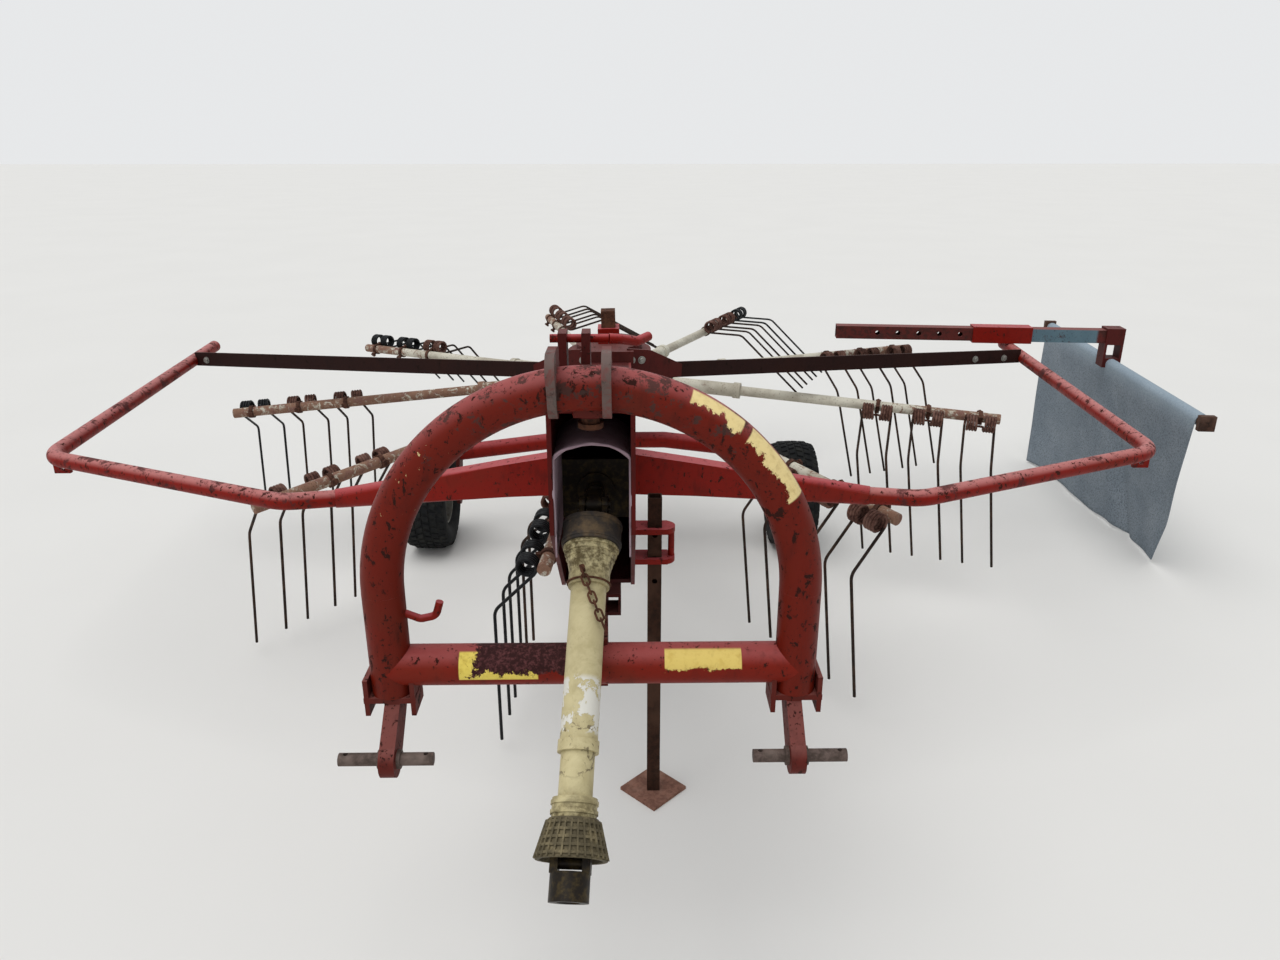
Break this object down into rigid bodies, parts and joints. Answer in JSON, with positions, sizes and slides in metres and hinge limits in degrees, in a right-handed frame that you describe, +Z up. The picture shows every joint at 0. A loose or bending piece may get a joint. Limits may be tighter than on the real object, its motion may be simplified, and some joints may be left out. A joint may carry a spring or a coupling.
{
  "type": "rotary hay rake",
  "caption": "Single-rotor hay rake with spring tines on turning arms, tubular guards, arched swivel hitch, drive shaft, swath curtain, parking stand and two wheels",
  "frame": {"origin": "middle of the bounding box's footprint, at ground level", "axes": "+Z up, +Y to the rear away from the hitch, +X to the right as seen from the tractor looking at the hitch; the lower hitch pins lie along X"},
  "size_m": [3.6554, 3.779, 1.192],
  "materials": {
    "red_paint": "worn satin",
    "dark_red_paint": "worn matt",
    "faded_paint": "faded matt",
    "cream_paint": "worn, rusty",
    "rusty_steel": "rusted",
    "dark_steel": "greasy",
    "spring_steel": "satin black",
    "rim_paint": "worn satin",
    "tyre_rubber": "matt",
    "black_plastic": "matt",
    "cream_plastic": "matt",
    "grey_paint": "worn matt",
    "curtain_fabric": "matt"
  },
  "bodies": {
    "frame": {"boom": "red_paint", "lower_strut": "dark_red_paint", "shaft_hood": "faded_paint", "gearbox": "dark_red_paint", "input_shaft": "dark_steel", "column": "red_paint", "height_bar": "rusty_steel", "brace_bracket": "dark_red_paint", "brace_left": "dark_red_paint", "brace_right": "dark_red_paint", "guard_arm_left": "red_paint", "guard_arm_right": "red_paint", "rail_left": "red_paint", "rail_right": "red_paint", "latch_bracket": "dark_red_paint", "latch_lever": "red_paint", "stand_guide": "red_paint", "axle_beam": "red_paint", "wheel_leg_left": "dark_red_paint", "wheel_leg_right": "dark_red_paint", "curtain_sleeve": "red_paint"},
    "headstock": {"arch": "red_paint", "cross_tube": "red_paint", "top_link_lugs": "faded_paint", "swivel_ears": "red_paint", "swivel_pins": "rusty_steel", "hitch_arms": "red_paint", "hitch_pins": "rusty_steel", "hose_hook": "red_paint"},
    "rotor": {"drum": "rusty_steel", "arm_sleeves": "cream_paint", "arm_tubes": "cream_paint", "tine_clamps": "rusty_steel", "tines_worn": "rusty_steel", "tines_renewed": "spring_steel"},
    "wheel_left": {"tyre_left": "tyre_rubber", "rim_left": "rim_paint"},
    "wheel_right": {"tyre_right": "tyre_rubber", "rim_right": "rim_paint"},
    "stand": {"stand_leg": "rusty_steel", "stand_foot": "rusty_steel"},
    "curtain_carrier": {"carrier": "red_paint", "curtain_bracket": "black_plastic", "curtain_bar": "grey_paint", "curtain": "curtain_fabric"},
    "shaft_outer": {"shaft_joint": "dark_steel", "shaft_bell": "black_plastic", "shaft_cone": "cream_plastic", "outer_tube": "cream_plastic", "shaft_chain": "rusty_steel"},
    "shaft_inner": {"inner_tube": "cream_plastic", "end_cone": "black_plastic"},
    "shaft_end": {"end_yoke": "dark_steel"}
  },
  "joints": [
    {"name": "headstock_swivel", "type": "hinge", "parent": "frame", "child": "headstock", "pos_m": [-0.23117, -1.46542, 0.644], "axis": [0, 0, 1], "range_deg": [-10, 10]},
    {"name": "rotor_spin", "type": "hinge", "parent": "frame", "child": "rotor", "pos_m": [-0.23117, 0.41458, 0.647], "axis": [-0.0227, -0.0366, 0.9991], "continuous": true},
    {"name": "wheel_left_spin", "type": "hinge", "parent": "frame", "child": "wheel_left", "pos_m": [-0.90917, 0.37458, 0.2], "axis": [1, 0, 0], "continuous": true},
    {"name": "wheel_right_spin", "type": "hinge", "parent": "frame", "child": "wheel_right", "pos_m": [0.44683, 0.37458, 0.2], "axis": [1, 0, 0], "continuous": true},
    {"name": "stand_slide", "type": "slide", "parent": "frame", "child": "stand", "axis": [0, 0, 1], "range_m": [0, 0.3]},
    {"name": "curtain_slide", "type": "slide", "parent": "frame", "child": "curtain_carrier", "axis": [0.9945, -0.1045, 0], "range_m": [-0.18, 0.36]},
    {"name": "shaft_hinge", "type": "hinge", "parent": "frame", "child": "shaft_outer", "pos_m": [-0.23117, -1.38542, 0.875], "axis": [-1, 0, 0], "range_deg": [0, 40]},
    {"name": "shaft_telescope", "type": "slide", "parent": "shaft_outer", "child": "shaft_inner", "axis": [-0.0459, -0.751, -0.6587], "range_m": [-0.05, 0.1]},
    {"name": "shaft_end_spin", "type": "hinge", "parent": "shaft_inner", "child": "shaft_end", "pos_m": [-0.25965, -1.85104, 0.4666], "axis": [-0.0459, -0.751, -0.6587], "continuous": true}
  ],
  "couplings": [
    {"joint": "shaft_end_spin", "follows": "rotor_spin", "ratio": 6.4}
  ]
}
